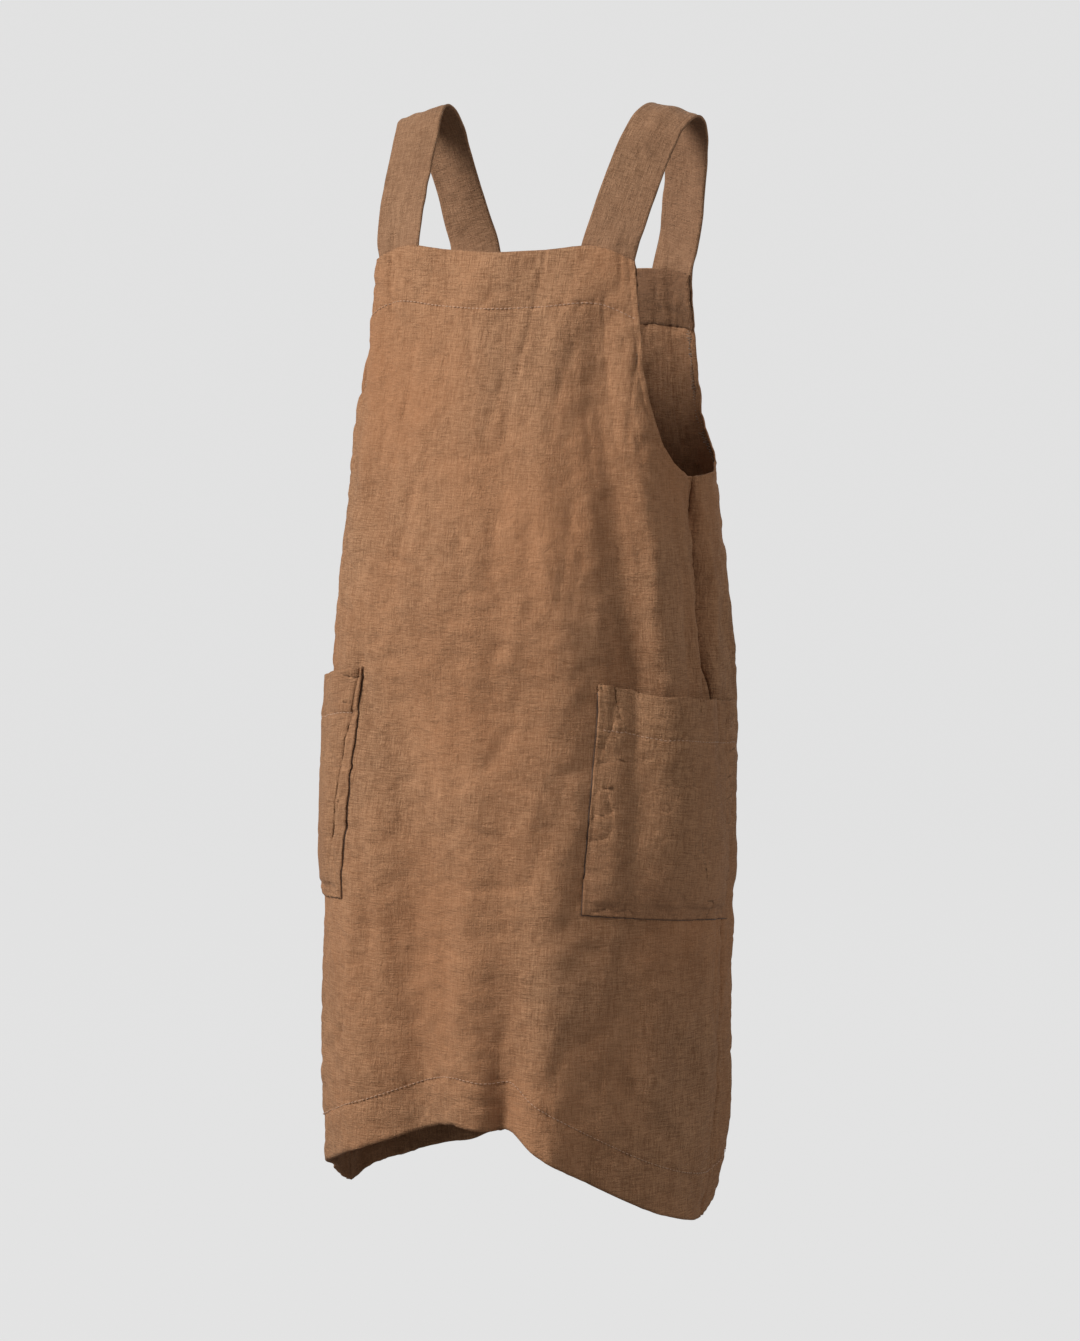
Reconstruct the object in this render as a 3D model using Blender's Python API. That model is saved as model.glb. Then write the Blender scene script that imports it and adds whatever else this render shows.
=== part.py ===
"""Pinafore dress in washed linen, filled out as if worn: a square bib in front, a straight back, two wide
shoulder straps, side seams under low armholes and two patch pockets that wrap round the seams.

Metres, +Z up. The front faces -Y and +X is the wearer's left. The origin lies between the crests of the two
straps, where the shoulders hold the dress, so every "drop" below is a distance down from the shoulders.
An angle goes round the body in degrees from the centre front, positive to the wearer's left; the centre back
is at 180.
"""

import math

import bmesh
import bpy
import numpy as np

# Cloth and gaps
PANEL_WALL = 0.0016  # linen with its turned edges
FACING_WALL = 0.0010
STRAP_WALL = 0.0022  # a strap is a folded tube of two layers
POCKET_WALL = 0.0014
SEAM_GAP = 0.0003
POCKET_GAP = 0.0009  # clears the facets of the panel under the pocket
STRAP_GAP = 0.0007  # clears the facets on both sides of a tucked strap end

# Body of the dress: half width and the depths in front of and behind the side line, row by row
SECTION_COLUMNS = ("drop", "half_width", "front_depth", "back_depth")
SECTIONS = (
    (0.110, 0.188, 0.066, 0.106),
    (0.200, 0.176, 0.086, 0.120),
    (0.334, 0.180, 0.123, 0.142),
    (0.447, 0.189, 0.147, 0.164),
    (0.540, 0.195, 0.150, 0.166),
    (0.630, 0.196, 0.165, 0.157),
    (0.745, 0.196, 0.178, 0.145),
    (0.860, 0.196, 0.188, 0.138),
    (1.020, 0.190, 0.192, 0.136),
)

# Outline of the panels: the edges at the top, the armholes and the hem
FRONT_TOP = (  # angle, drop of the bib's top edge
    (-50, 0.1370),
    (-36, 0.1240),
    (-16, 0.1270),
    (0, 0.1290),
    (16, 0.1270),
    (36, 0.1240),
    (50, 0.1370),
)
BACK_TOP = (  # angle from the centre back, drop
    (-46, 0.1500),
    (-28, 0.1450),
    (0, 0.1480),
    (28, 0.1450),
    (46, 0.1500),
)
ARMHOLE_DROP = 0.332
FRONT_ARMHOLE = (  # drop, angle from the centre front
    (0.120, 45.0),
    (0.160, 48.8),
    (0.200, 53.0),
    (0.243, 56.5),
    (0.285, 62.5),
    (0.310, 68.5),
    (0.325, 77.0),
    (0.332, 87.0),
)
BACK_ARMHOLE = (  # drop, angle from the centre back
    (0.145, 44.5),
    (0.170, 45.5),
    (0.216, 48.0),
    (0.262, 50.0),
    (0.290, 52.5),
    (0.310, 59.0),
    (0.325, 73.0),
    (0.332, 93.0),
)
SEAMS = (  # drop, angle of the left seam and of the right seam from the centre front
    (0.332, 87.0, 87.0),
    (0.450, 88.0, 85.0),
    (0.540, 91.0, 83.0),
    (0.630, 94.0, 81.0),
    (0.745, 95.5, 80.0),
    (1.020, 94.0, 80.0),
)
HEM = (  # angle, drop of the lower edge
    (-180, 0.970),
    (-150, 0.979),
    (-120, 0.997),
    (-98, 1.003),
    (-80, 1.009),
    (-66, 0.986),
    (-42, 0.962),
    (-24, 0.941),
    (-6, 0.918),
    (4, 0.911),
    (16, 0.914),
    (23, 0.914),
    (28, 0.928),
    (34, 0.941),
    (48, 0.967),
    (66, 0.995),
    (84, 1.011),
    (94, 1.014),
    (120, 0.998),
    (150, 0.979),
    (180, 0.970),
)

# Largest folds: the angle and the depth, inwards, at four drops, and the half width in degrees
FOLD_DROPS = (0.20, 0.45, 0.70, 0.95)
FOLD_COLUMNS = ("place", "angles", "depths", "half_width")
FOLDS_FADE_IN = (0.135, 0.220)  # drops between which the folds grow out of the stitched bands
FOLDS = (
    ("left bib trough into the pocket", (38, 51, 55, 55), (0.008, 0.010, 0.005, 0.0), 6),
    ("left bib ridge", (48, 62, 66, 66), (-0.003, -0.006, -0.002, 0.0), 7),
    ("right front trough", (-26, -21, -8, -3), (0.0, 0.006, 0.018, 0.030), 11),
    ("centre front trough", (8, 12, 16, 21), (0.002, 0.004, 0.005, 0.016), 6),
    ("centre front ridge", (24, 30, 31, 32), (-0.001, -0.004, -0.007, -0.014), 7),
    ("left seam valley", (85, 88, 94, 94), (0.008, 0.013, 0.004, 0.004), 9),
    ("right seam valley", (-85, -85, -80, -80), (0.008, 0.013, 0.004, 0.004), 9),
    ("right front crest", (-34, -32, -29, -27), (0.0, -0.001, -0.004, -0.008), 8),
    ("right front ridge", (-46, -43, -44, -44), (-0.002, -0.005, -0.006, -0.006), 9),
    ("left back trough", (150, 146, 140, 138), (0.002, 0.006, 0.010, 0.016), 9),
    ("right back trough", (-156, -150, -146, -140), (0.001, 0.005, 0.012, 0.018), 9),
    ("centre back ridge", (180, 178, 172, 170), (0.0, -0.004, -0.008, -0.012), 11),
    ("left hem curl", (90, 90, 92, 98), (0.0, 0.0, -0.002, 0.003), 14),
    ("left back ridge", (112, 112, 110, 110), (0.0, 0.0, -0.002, -0.006), 10),
    ("right hem curl", (-70, -70, -70, -70), (0.0, 0.0, 0.0, 0.004), 14),
)
HEM_TUCKS = (  # place, angle, depth inwards at the lowest hem, half width in degrees
    ("left side", 112, 0.018, 24),
    ("right side", -104, 0.010, 22),
)
TUCK_START = 0.90
TUCK_LENGTH = 0.12

# Facings behind the top edges
FACING_DEPTH = 0.052

# Straps: the route of the centre line, its ends tucked between panel and facing
STRAP_WIDTH = 0.050
STRAP_TILT = 14.0  # the outer edge is the lower one
STRAP_COLUMNS = ("x", "y", "drop", "left_yaw", "right_yaw")
STRAP_ROUTE = (  # from the bib to the back; yaw turns the width's outer end to the back, in degrees
    (0.1125, -0.0420, 0.1004, 14, 6),
    (0.1152, -0.0307, 0.0783, 14, 3),
    (0.1179, -0.0180, 0.0563, 13, 2),
    (0.1210, 0.0010, 0.0280, 10, 1),
    (0.1250, 0.0150, 0.0105, 4, 0),
    (0.1290, 0.0290, 0.0015, -1, -2),
    (0.1304, 0.0400, 0.0000, -4, -3),
    (0.1306, 0.0520, 0.0040, -8, -1),
    (0.1290, 0.0630, 0.0160, -11, 3),
    (0.1262, 0.0710, 0.0340, -14, 7),
    (0.1225, 0.0770, 0.0560, -16, 8),
    (0.1176, 0.0825, 0.0790, -16, 8),
    (0.1132, 0.0870, 0.1010, -16, 5),
    (0.1072, 0.0905, 0.1230, -20, -2),
)
STRAP_FRONT_END = (0.1095, -0.10)  # x at the bib's top edge, and its change for each metre down
STRAP_BACK_END = (0.1052, -0.16)
STRAP_TUCK = 0.024  # length hidden behind the top edge

# Pockets: corners of each patch on the body, as angles from the centre front and drops
POCKET_COLUMNS = (
    "name", "side", "front_top", "front_bottom", "back_top", "back_bottom",
    "top_front", "top_back", "bottom_front", "bottom_back",
)
POCKETS = (
    ("left", 1, 41.5, 39.5, 105.0, 99.0, 0.5120, 0.5370, 0.7170, 0.7370),
    ("right", -1, 34.0, 35.4, 93.0, 97.0, 0.5060, 0.5330, 0.7180, 0.7370),
)
POCKET_SAG = 0.004  # how much the top edge bows down between its ends
POCKET_BULGE = 0.011

# Mesh density
COLUMNS = 34
ARMHOLE_ROWS = (0.20, 0.42, 0.62, 0.78, 0.89, 0.96, 1.0)  # shares of the way from the facing to the armhole
ARMHOLE_DIP = 0.035
LOWER_ROWS = 14
FACING_ROWS = 2
POCKET_GRID = (12, 10)
STRAP_GRID = (32, 4)


def curve(rows, at, column=1):
    """The smooth curve through a table's first column and another, read at `at` and flat past its ends."""
    keys = np.array([row[0] for row in rows], float)
    values = np.array([row[column] for row in rows], float)
    slopes = np.gradient(values, keys)
    at = np.clip(at, keys[0], keys[-1])
    i = np.clip(np.searchsorted(keys, at) - 1, 0, len(keys) - 2)
    span = keys[i + 1] - keys[i]
    t = (at - keys[i]) / span
    start = (1 + 2 * t) * (1 - t) ** 2 * values[i] + t * (1 - t) ** 2 * span * slopes[i]
    end = t * t * (3 - 2 * t) * values[i + 1] + t * t * (t - 1) * span * slopes[i + 1]
    return start + end


def smooth_step(low, high, at):
    t = np.clip((at - low) / (high - low), 0.0, 1.0)
    return t * t * (3 - 2 * t)


def fold_depth(angle, drop):
    """How far the folds push the cloth in, summed over the table."""
    total = np.zeros(np.broadcast(angle, drop).shape)
    for _, angles, depths, half_width in FOLDS:
        centre = curve(tuple(zip(FOLD_DROPS, angles)), drop)
        depth = curve(tuple(zip(FOLD_DROPS, depths)), drop)
        away = (angle - centre + 180.0) % 360.0 - 180.0
        total = total + depth * np.exp(-((away / half_width) ** 2))
    total = total * smooth_step(*FOLDS_FADE_IN, drop)
    tucked_in = np.clip((drop - TUCK_START) / TUCK_LENGTH, 0.0, 1.0) ** 2
    for _, centre, depth, half_width in HEM_TUCKS:
        away = (angle - centre + 180.0) % 360.0 - 180.0
        total = total + depth * tucked_in * np.exp(-((away / half_width) ** 2))
    return total


def skin(angle, drop):
    """Points of the outer face of the body, for arrays of angles and drops."""
    angle, drop = np.broadcast_arrays(np.asarray(angle, float), np.asarray(drop, float))
    half = curve(SECTIONS, drop, 1)
    turn = np.radians(angle)
    in_front = np.cos(turn) >= 0
    depth = np.where(in_front, curve(SECTIONS, drop, 2), curve(SECTIONS, drop, 3))
    outward = np.stack([np.sin(turn) / half, -np.cos(turn) / depth], -1)
    outward /= np.linalg.norm(outward, axis=-1, keepdims=True)
    plan = np.stack([half * np.sin(turn), -depth * np.cos(turn)], -1)
    plan -= outward * fold_depth(angle, drop)[..., None]
    return np.concatenate([plan, -drop[..., None]], -1)


def body(angle, drop, out=0.0):
    """Points at a distance outside the body's outer face, or inside it where `out` is negative."""
    step_angle = 0.2
    step_drop = 0.0005
    across = skin(angle + step_angle, drop) - skin(angle - step_angle, drop)
    down = skin(angle, drop + step_drop) - skin(angle, drop - step_drop)
    normal = np.cross(down, across)
    normal /= np.linalg.norm(normal, axis=-1, keepdims=True)
    return skin(angle, drop) + normal * np.asarray(out, float)[..., None]


def half_gap(drop):
    """Half the seam's gap as an angle at the side line."""
    return np.degrees(0.5 * SEAM_GAP / curve(SECTIONS, drop, 2))


def seam_angle(drop, side):
    return curve(SEAMS, drop, 1 if side > 0 else 2)


def front_edge(drop, side):
    """Angle of the front panel's side edge: the armhole above, the seam below."""
    edge = np.where(drop < ARMHOLE_DROP, curve(FRONT_ARMHOLE, drop), seam_angle(drop, side))
    return edge - half_gap(drop)


def back_edge(drop, side):
    """Angle of the back panel's side edge from the centre back."""
    edge = np.where(drop < ARMHOLE_DROP, curve(BACK_ARMHOLE, drop), 180.0 - seam_angle(drop, side))
    return edge - half_gap(drop)


def panel_grid(top, edge, turned):
    """Angles and drops of a panel's grid. `turned` puts the panel's middle at the centre back.

    Rows crowd together towards the foot of the armhole at the sides, and the row that ends there dips
    below it, so that the columns keep clear of the armhole's edge.
    """
    across = np.linspace(-1.0, 1.0, COLUMNS + 1)
    side_share = np.abs(across) ** 3
    armhole_row = ARMHOLE_DROP + ARMHOLE_DIP * (1 - across**6)
    top_drop = curve(top, across * top[-1][0])
    facing_drop = top_drop + FACING_DEPTH
    rows = [top_drop + FACING_DEPTH * row / FACING_ROWS for row in range(FACING_ROWS + 1)]
    for row, crowded in enumerate(ARMHOLE_ROWS, 1):
        share = crowded * side_share + row / len(ARMHOLE_ROWS) * (1 - side_share)
        rows.append(facing_drop + share * (armhole_row - facing_drop))
    ends = [edge(np.array(1.02), side) for side in (-1, 1)]
    hem_angle = across * np.where(across < 0, ends[0], ends[1])
    if turned:
        hem_angle = np.where(across < 0, -180.0 - hem_angle, 180.0 - hem_angle)
    hem_drop = curve(HEM, hem_angle)
    for row in range(1, LOWER_ROWS + 1):
        rows.append(armhole_row + row / LOWER_ROWS * (hem_drop - armhole_row))
    drop = np.array(rows)
    left_edge = edge(drop[:, -1], 1)[:, None]
    right_edge = edge(drop[:, 0], -1)[:, None]
    angle = across * np.where(across < 0, right_edge, left_edge)
    return (180.0 - angle if turned else angle), drop


def slab(name, outer, inner, material):
    """A closed wall between two grids of points."""
    rows, columns = outer.shape[:2]
    mesh = bmesh.new()
    near = [[mesh.verts.new(point) for point in row] for row in outer]
    far = [[mesh.verts.new(point) for point in row] for row in inner]
    for i in range(rows - 1):
        for j in range(columns - 1):
            mesh.faces.new((near[i][j], near[i][j + 1], near[i + 1][j + 1], near[i + 1][j]))
            mesh.faces.new((far[i][j], far[i + 1][j], far[i + 1][j + 1], far[i][j + 1]))
    rim = [(i, 0) for i in range(rows)]
    rim += [(rows - 1, j) for j in range(1, columns)]
    rim += [(i, columns - 1) for i in range(rows - 2, -1, -1)]
    rim += [(0, j) for j in range(columns - 2, 0, -1)]
    for (i, j), (k, m) in zip(rim, rim[1:] + rim[:1]):
        mesh.faces.new((near[i][j], near[k][m], far[k][m], far[i][j]))
    bmesh.ops.recalc_face_normals(mesh, faces=mesh.faces)
    data = bpy.data.meshes.new(name)
    mesh.to_mesh(data)
    mesh.free()
    data.materials.append(material)
    data.shade_smooth()
    data.set_sharp_from_angle(angle=math.radians(40))
    piece = bpy.data.objects.new(name, data)
    bpy.context.scene.collection.objects.link(piece)
    return piece


def cloth(name, colour, roughness):
    material = bpy.data.materials.new(name)
    material.use_nodes = True
    shader = material.node_tree.nodes["Principled BSDF"]
    shader.inputs["Base Color"].default_value = (*colour, 1.0)
    shader.inputs["Roughness"].default_value = roughness
    shader.inputs["Metallic"].default_value = 0.0
    return material


def add_panel(name, top, edge, turned, material):
    angle, drop = panel_grid(top, edge, turned)
    return slab(name, body(angle, drop), body(angle, drop, np.full(drop.shape, -PANEL_WALL)), material)


def strap_zone(x, end):
    """1 where a strap end lies between panel and facing, 0 well away from it."""
    inner_edge = end[0] - STRAP_WIDTH / 2
    return smooth_step(inner_edge - 0.022, inner_edge - 0.004, np.abs(x))


def add_facing(name, top, edge, turned, end, material):
    """The facing takes the panel's own points, moved in, and bulges over the strap ends."""
    angle, drop = (grid[: FACING_ROWS + 1] for grid in panel_grid(top, edge, turned))
    room = strap_zone(body(angle, drop)[..., 0], end) * (STRAP_WALL + 2 * STRAP_GAP - SEAM_GAP)
    depth = PANEL_WALL + SEAM_GAP + room
    return slab(name, body(angle, drop, -depth), body(angle, drop, -depth - FACING_WALL), material)


def strap_frames(side):
    """Centre points, width directions and outward normals along a strap's free route."""
    route = np.array(STRAP_ROUTE, float)
    points = route[:, :3] * (side, 1, -1)
    tangents = np.gradient(points, axis=0)
    tangents /= np.linalg.norm(tangents, axis=1, keepdims=True)
    tilt = math.radians(STRAP_TILT)
    yaw = np.radians(route[:, 3 if side > 0 else 4])
    flat = math.cos(tilt)
    widths = np.stack([side * flat * np.cos(yaw), flat * np.sin(yaw), np.full(len(yaw), -math.sin(tilt))], -1)
    widths -= tangents * np.sum(widths * tangents, axis=1, keepdims=True)
    widths /= np.linalg.norm(widths, axis=1, keepdims=True)
    normals = np.cross(widths, tangents) * side
    return points, widths, normals


def tucked(side, end, top, below, offsets, turned):
    """A row of a strap's end, on the inner side of the panel."""
    drop = top + below
    place = (end[0] + end[1] * below + offsets) / curve(SECTIONS, drop, 1)
    angle = np.degrees(np.arcsin(np.clip(place, -1, 1)))
    angle = side * (180.0 - angle if turned else angle)
    drops = np.full(angle.shape, drop)
    depth = np.full(angle.shape, PANEL_WALL + STRAP_GAP)
    outer = body(angle, drops, -depth)
    inner = body(angle, drops, -depth - STRAP_WALL)
    return outer, inner


def add_strap(name, side, material):
    """One loop: tucked behind the bib, over the shoulder and tucked behind the back's top edge."""
    along, across = STRAP_GRID
    offsets = np.linspace(-STRAP_WIDTH / 2, STRAP_WIDTH / 2, across + 1)
    front_top = float(curve(FRONT_TOP, 36.0))
    back_top = float(curve(BACK_TOP, 34.0))
    pairs = [
        tucked(side, STRAP_FRONT_END, front_top, below, offsets, False)
        for below in (STRAP_TUCK, STRAP_TUCK / 2, 0.0)
    ]
    for centre, width, normal in zip(*strap_frames(side)):
        row = centre + offsets[:, None] * width
        pairs.append((row + normal * STRAP_WALL / 2, row - normal * STRAP_WALL / 2))
    pairs += [
        tucked(side, STRAP_BACK_END, back_top, below, offsets, True)
        for below in (0.0, STRAP_TUCK / 2, STRAP_TUCK)
    ]
    outer = resample(np.array([pair[0] for pair in pairs]), along)
    inner = resample(np.array([pair[1] for pair in pairs]), along)
    return slab(name, outer, inner, material)


def resample(rows, count):
    """Rows read evenly along a smooth curve through the given rows."""
    middle = rows[:, rows.shape[1] // 2]
    length = np.concatenate([[0.0], np.cumsum(np.linalg.norm(np.diff(middle, axis=0), axis=1))])
    at = np.linspace(0.0, length[-1], count + 1)
    flat = rows.reshape(len(rows), -1)
    columns = [curve(tuple(zip(length, column)), at) for column in flat.T]
    return np.stack(columns, -1).reshape(count + 1, *rows.shape[1:])


def add_pocket(row, material):
    """A patch over the side seam, sewn at three edges and standing off in between and at its mouth."""
    pocket = dict(zip(POCKET_COLUMNS, row))
    across, down = POCKET_GRID
    u = np.linspace(0.0, 1.0, across + 1)[None, :]
    v = np.linspace(0.0, 1.0, down + 1)[:, None]
    front = pocket["front_top"] + (pocket["front_bottom"] - pocket["front_top"]) * v
    back = pocket["back_top"] + (pocket["back_bottom"] - pocket["back_top"]) * v
    angle = pocket["side"] * (front + (back - front) * u)
    top = pocket["top_front"] + (pocket["top_back"] - pocket["top_front"]) * u + POCKET_SAG * 4 * u * (1 - u)
    bottom = pocket["bottom_front"] + (pocket["bottom_back"] - pocket["bottom_front"]) * u
    drop = top + (bottom - top) * v
    bulge = POCKET_BULGE * np.sin(math.pi * u) ** 0.6 * np.cos(0.5 * math.pi * v**2.2)
    off = POCKET_GAP + bulge
    name = "pocket_" + pocket["name"]
    return slab(name, body(angle, drop, off + POCKET_WALL), body(angle, drop, off), material)


def build():
    for old in list(bpy.data.objects):
        bpy.data.objects.remove(old, do_unlink=True)
    linen = cloth("linen_body", (0.332, 0.182, 0.100), 0.9)
    facing_linen = cloth("linen_facing", (0.290, 0.156, 0.085), 0.92)
    strap_linen = cloth("linen_strap", (0.345, 0.192, 0.108), 0.9)
    pocket_linen = cloth("linen_pocket", (0.320, 0.175, 0.096), 0.9)
    add_panel("front_panel", FRONT_TOP, front_edge, False, linen)
    add_panel("back_panel", BACK_TOP, back_edge, True, linen)
    add_facing("front_facing", FRONT_TOP, front_edge, False, STRAP_FRONT_END, facing_linen)
    add_facing("back_facing", BACK_TOP, back_edge, True, STRAP_BACK_END, facing_linen)
    add_strap("strap_left", 1, strap_linen)
    add_strap("strap_right", -1, strap_linen)
    for row in POCKETS:
        add_pocket(row, pocket_linen)


build()
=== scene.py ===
"""Looks of the pinafore dress: fine linen cloth laid on the frame's form, its folds and crumples, stitches,
materials, studio light and camera. Metres, +Z up, front to -Y, +X the wearer's left. Angles are degrees round
the body from the centre front, and a drop is the distance down from the shoulders."""

import math

import bpy
import numpy as np
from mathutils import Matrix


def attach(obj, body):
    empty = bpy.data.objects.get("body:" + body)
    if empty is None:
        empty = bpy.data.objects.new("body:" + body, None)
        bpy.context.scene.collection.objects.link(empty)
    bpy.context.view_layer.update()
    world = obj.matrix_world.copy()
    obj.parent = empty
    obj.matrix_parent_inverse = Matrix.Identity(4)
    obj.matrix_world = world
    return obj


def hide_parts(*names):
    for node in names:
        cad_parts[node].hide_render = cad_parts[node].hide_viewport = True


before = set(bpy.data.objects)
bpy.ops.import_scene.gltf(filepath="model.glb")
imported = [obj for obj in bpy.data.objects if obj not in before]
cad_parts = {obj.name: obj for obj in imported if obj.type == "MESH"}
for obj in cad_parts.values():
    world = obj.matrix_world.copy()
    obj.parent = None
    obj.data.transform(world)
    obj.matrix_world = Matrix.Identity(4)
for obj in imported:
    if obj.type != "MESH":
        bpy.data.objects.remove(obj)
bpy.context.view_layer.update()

# ---------------------------------------------------------------- form, as in the frame
PANEL_WALL = 0.0016
FACING_WALL = 0.0010
STRAP_WALL = 0.0022
POCKET_WALL = 0.0011
POCKET_STANDOFF = 0.0004
SEAM_GAP = 0.0003
STRAP_GAP = 0.0007

SECTIONS = (  # drop, half width, front depth, back depth
    (0.110, 0.188, 0.066, 0.106),
    (0.200, 0.176, 0.086, 0.120),
    (0.334, 0.180, 0.123, 0.142),
    (0.447, 0.189, 0.147, 0.164),
    (0.540, 0.195, 0.150, 0.166),
    (0.630, 0.196, 0.165, 0.157),
    (0.745, 0.196, 0.178, 0.145),
    (0.860, 0.196, 0.188, 0.138),
    (1.020, 0.190, 0.192, 0.136),
)
FRONT_TOP = (  # angle, drop
    (-50, 0.1370),
    (-36, 0.1240),
    (-16, 0.1270),
    (0, 0.1290),
    (16, 0.1270),
    (36, 0.1240),
    (50, 0.1370),
)
BACK_TOP = (  # angle from the centre back, drop
    (-46, 0.1500),
    (-28, 0.1450),
    (0, 0.1480),
    (28, 0.1450),
    (46, 0.1500),
)
ARMHOLE_DROP = 0.332
FRONT_ARMHOLE = (  # drop, angle from the centre front
    (0.120, 45.0),
    (0.160, 48.8),
    (0.200, 53.0),
    (0.243, 56.5),
    (0.285, 62.5),
    (0.310, 68.5),
    (0.325, 77.0),
    (0.332, 87.0),
)
BACK_ARMHOLE = (  # drop, angle from the centre back
    (0.145, 44.5),
    (0.170, 45.5),
    (0.216, 48.0),
    (0.262, 50.0),
    (0.290, 52.5),
    (0.310, 59.0),
    (0.325, 73.0),
    (0.332, 93.0),
)
SEAMS = (  # drop, angle of the left seam and of the right seam
    (0.332, 87.0, 87.0),
    (0.450, 88.0, 85.0),
    (0.540, 91.0, 83.0),
    (0.630, 94.0, 81.0),
    (0.745, 95.5, 80.0),
    (1.020, 94.0, 80.0),
)
HEM = (  # angle, drop
    (-180, 0.970),
    (-150, 0.979),
    (-120, 0.997),
    (-98, 1.003),
    (-80, 1.009),
    (-66, 0.986),
    (-42, 0.962),
    (-24, 0.941),
    (-6, 0.918),
    (4, 0.911),
    (16, 0.914),
    (23, 0.914),
    (28, 0.928),
    (34, 0.941),
    (48, 0.967),
    (66, 0.995),
    (84, 1.011),
    (94, 1.014),
    (120, 0.998),
    (150, 0.979),
    (180, 0.970),
)
FOLD_DROPS = (0.20, 0.45, 0.70, 0.95)
FOLDS_FADE_IN = (0.135, 0.220)  # drops between which the folds grow out of the stitched bands
FOLDS = (  # place, angles at the fold drops, depths inwards, half width in degrees
    ("left bib trough into the pocket", (38, 51, 55, 55), (0.008, 0.010, 0.005, 0.0), 6),
    ("left bib ridge", (48, 62, 66, 66), (-0.003, -0.006, -0.002, 0.0), 7),
    ("right front trough", (-26, -21, -8, -3), (0.0, 0.006, 0.018, 0.030), 11),
    ("centre front trough", (8, 12, 16, 21), (0.002, 0.004, 0.005, 0.016), 6),
    ("centre front ridge", (24, 30, 31, 32), (-0.001, -0.004, -0.007, -0.014), 7),
    ("left seam valley", (85, 88, 94, 94), (0.008, 0.013, 0.004, 0.004), 9),
    ("right seam valley", (-85, -85, -80, -80), (0.008, 0.013, 0.004, 0.004), 9),
    ("right front crest", (-34, -32, -29, -27), (0.0, -0.001, -0.004, -0.008), 8),
    ("right front ridge", (-46, -43, -44, -44), (-0.002, -0.005, -0.006, -0.006), 9),
    ("left back trough", (150, 146, 140, 138), (0.002, 0.006, 0.010, 0.016), 9),
    ("right back trough", (-156, -150, -146, -140), (0.001, 0.005, 0.012, 0.018), 9),
    ("centre back ridge", (180, 178, 172, 170), (0.0, -0.004, -0.008, -0.012), 11),
    ("left hem curl", (90, 90, 92, 98), (0.0, 0.0, -0.002, 0.003), 14),
    ("left back ridge", (112, 112, 110, 110), (0.0, 0.0, -0.002, -0.006), 10),
    ("right hem curl", (-70, -70, -70, -70), (0.0, 0.0, 0.0, 0.004), 14),
)
HEM_TUCKS = (  # place, angle, depth inwards at the lowest hem, half width in degrees
    ("left side", 112, 0.018, 24),
    ("right side", -104, 0.010, 22),
)
TUCK_START = 0.90
TUCK_LENGTH = 0.12
FACING_DEPTH = 0.052
HEM_DEPTH = 0.044
STRAP_WIDTH = 0.050
STRAP_TILT = 14.0
STRAP_ROUTE = (  # x, y, drop, yaw of the left strap and of the right strap
    (0.1125, -0.0420, 0.1004, 14, 6),
    (0.1152, -0.0307, 0.0783, 14, 3),
    (0.1179, -0.0180, 0.0563, 13, 2),
    (0.1210, 0.0010, 0.0280, 10, 1),
    (0.1250, 0.0150, 0.0105, 4, 0),
    (0.1290, 0.0290, 0.0015, -1, -2),
    (0.1304, 0.0400, 0.0000, -4, -3),
    (0.1306, 0.0520, 0.0040, -8, -1),
    (0.1290, 0.0630, 0.0160, -11, 3),
    (0.1262, 0.0710, 0.0340, -14, 7),
    (0.1225, 0.0770, 0.0560, -16, 8),
    (0.1176, 0.0825, 0.0790, -16, 8),
    (0.1132, 0.0870, 0.1010, -16, 5),
    (0.1072, 0.0905, 0.1230, -20, -2),
)
STRAP_FRONT_END = (0.1095, -0.10)
STRAP_BACK_END = (0.1052, -0.16)
STRAP_TUCK = 0.024
STRAP_FRONT_ANGLE = 36.0  # where the straps meet the front's and the back's top edge
STRAP_BACK_ANGLE = 34.0
POCKET_COLUMNS = (
    "name", "side", "front_top", "front_bottom", "back_top", "back_bottom",
    "top_front", "top_back", "bottom_front", "bottom_back", "bulge",
    "seam_thread",
)
# The last column is the radius of the near-black line of painted shadow along the pocket's edges
POCKETS = (
    ("left", 1, 41.5, 39.5, 105.0, 99.0, 0.5120, 0.5370, 0.7170, 0.7370, 0.009, 0.0007),
    ("right", -1, 34.0, 35.4, 93.0, 97.0, 0.5060, 0.5330, 0.7180, 0.7370, 0.005, 0.0004),
)
POCKET_SAG = 0.004
POCKET_HEM = 0.042

# ---------------------------------------------------------------- fine cloth
MIDDLE_COLUMNS = 138
EDGE_COLUMNS = 12
EDGE_SHARE = 0.07
UPPER_ROWS = 44
LOWER_ROWS = 146
ROW_STEP = 0.0036
BAND_STEP = 0.0013
BAND_REACH = 0.007
ROW_CROWDING = 1.8  # how closely the rows crowd at the foot of the armholes
ARMHOLE_ROW_DIP = 0.035  # how far the row below the armholes dips at a panel's middle
BODY_RADIUS = 0.18  # turns an angle into a length along the cloth
BODY_ROUND = 2 * math.pi * BODY_RADIUS
SEAM_REACH = 0.28  # from a panel's middle to its side seam, along the cloth
SEAM_DIP = (0.0018, 0.0028)  # depth and width of the valley along a side seam
SEAM_LIP = (0.0007, 0.0035, 0.0075)  # height, width and place of the ridge beside it
TURNED_STEP = 0.001  # half the width of the step where a turned edge ends
STITCH_INSET = 0.0015  # from a turned edge's end to its stitches
PUCKER_SHARE = 1.3  # puckers beside the stitches, as a share of the stitches' pull
ARMHOLE_HEM = 0.008
ARMHOLE_RISE = 0.0003
ARMHOLE_PULL = 0.0007
ARMHOLE_PUCKER = 0.0008
HEM_TURN_GAP = 0.0004
HEM_TURN_WALL = 0.0008
POCKET_ACROSS = 0.18  # the patch's own width and height along the cloth
POCKET_DOWN = 0.21
POCKET_RIM = 0.004  # from the patch's edge to the stitches that hold it
STITCH_LENGTH = 0.0030
STITCH_PITCH = 0.0042
STITCH_RADIUS = 0.00042
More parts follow.
